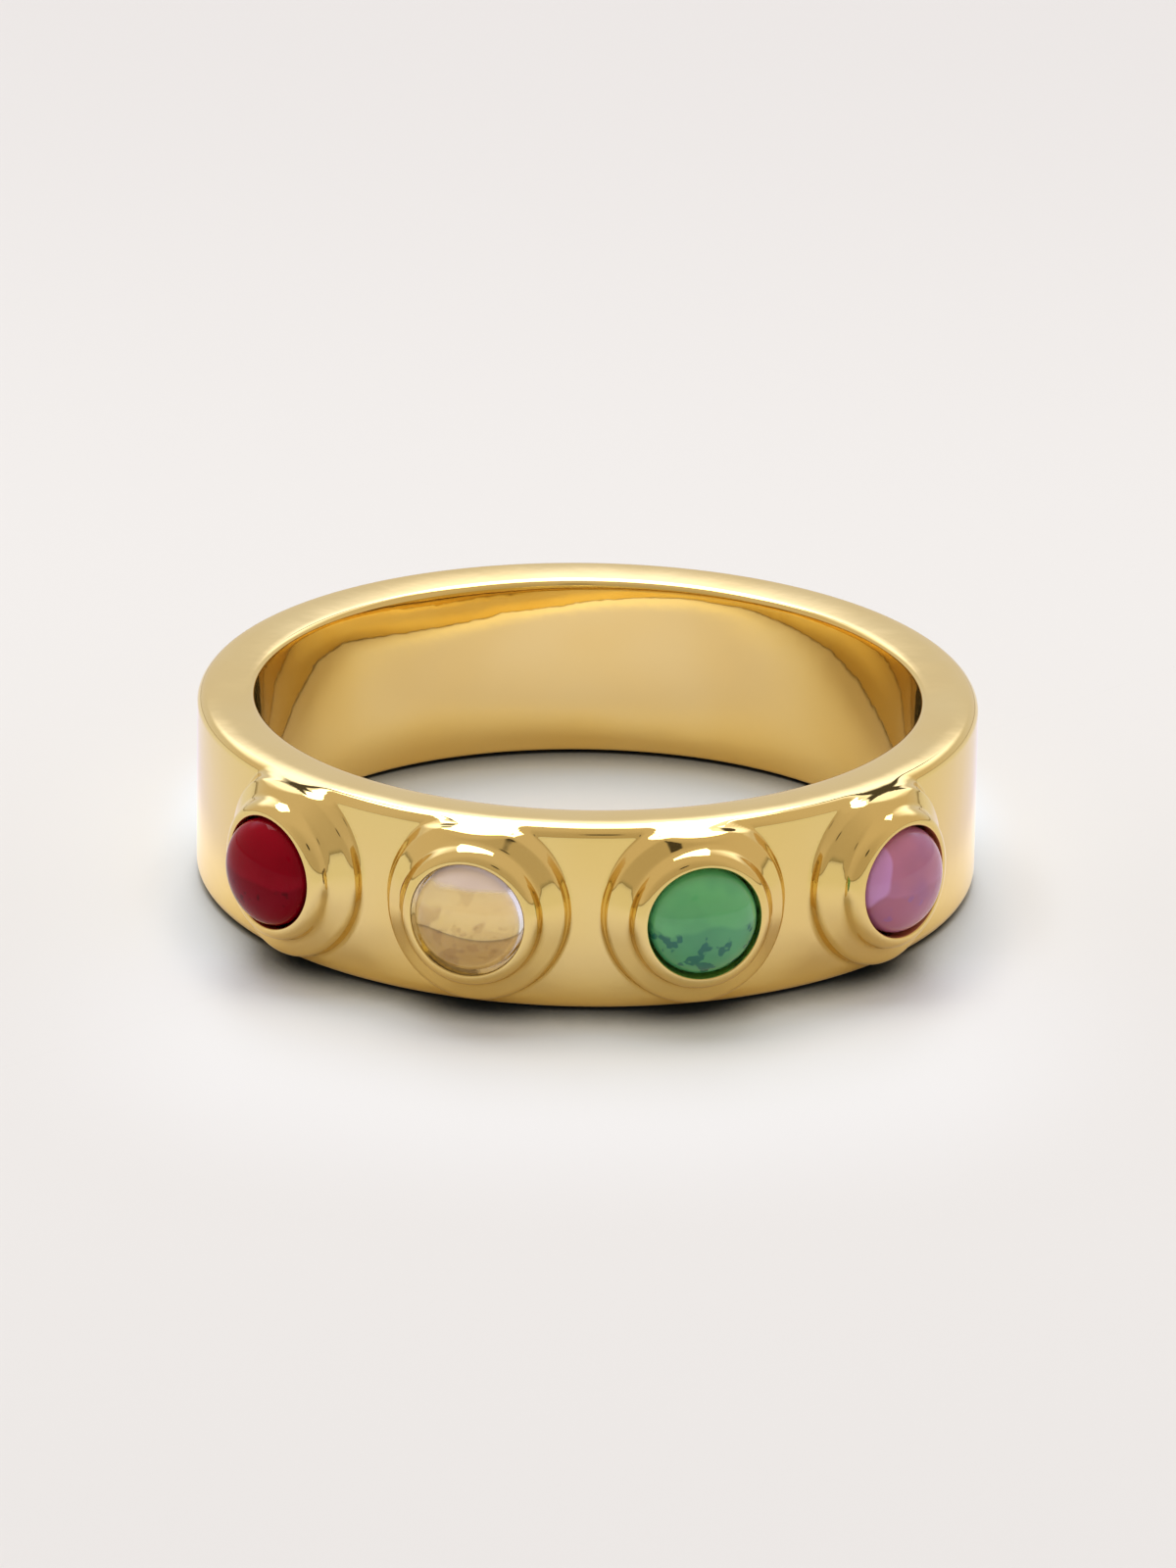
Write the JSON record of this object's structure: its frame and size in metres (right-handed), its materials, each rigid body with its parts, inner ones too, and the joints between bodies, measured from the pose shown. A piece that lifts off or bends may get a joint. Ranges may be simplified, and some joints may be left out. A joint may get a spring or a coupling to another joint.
{
  "type": "gemstone ring",
  "caption": "Polished gold band ring, flat outside and comfort-curved inside, with round cabochons bezel-set in a row of stepped collars.",
  "frame": {"origin": "middle of the finger hole, halfway between the two rims", "axes": "+Z along the finger hole out of the upper rim, -Y towards the middle of the row of stones, -X towards the red stone and +X towards the violet one"},
  "size_m": [0.0205, 0.0216, 0.005],
  "materials": {
    "gold": "mirror-polished yellow gold plate with a faint waviness from hand polishing",
    "red_stone": "polished deep red cabochon, almost opaque",
    "clear_stone": "polished clear cabochon with a champagne tint and a few inclusions",
    "green_stone": "polished translucent green cabochon with darker inclusions",
    "violet_stone": "polished translucent mauve cabochon"
  },
  "bodies": {
    "root": {"band": "gold", "red_stone": "red_stone", "clear_stone": "clear_stone", "green_stone": "green_stone", "violet_stone": "violet_stone"}
  },
  "joints": []
}
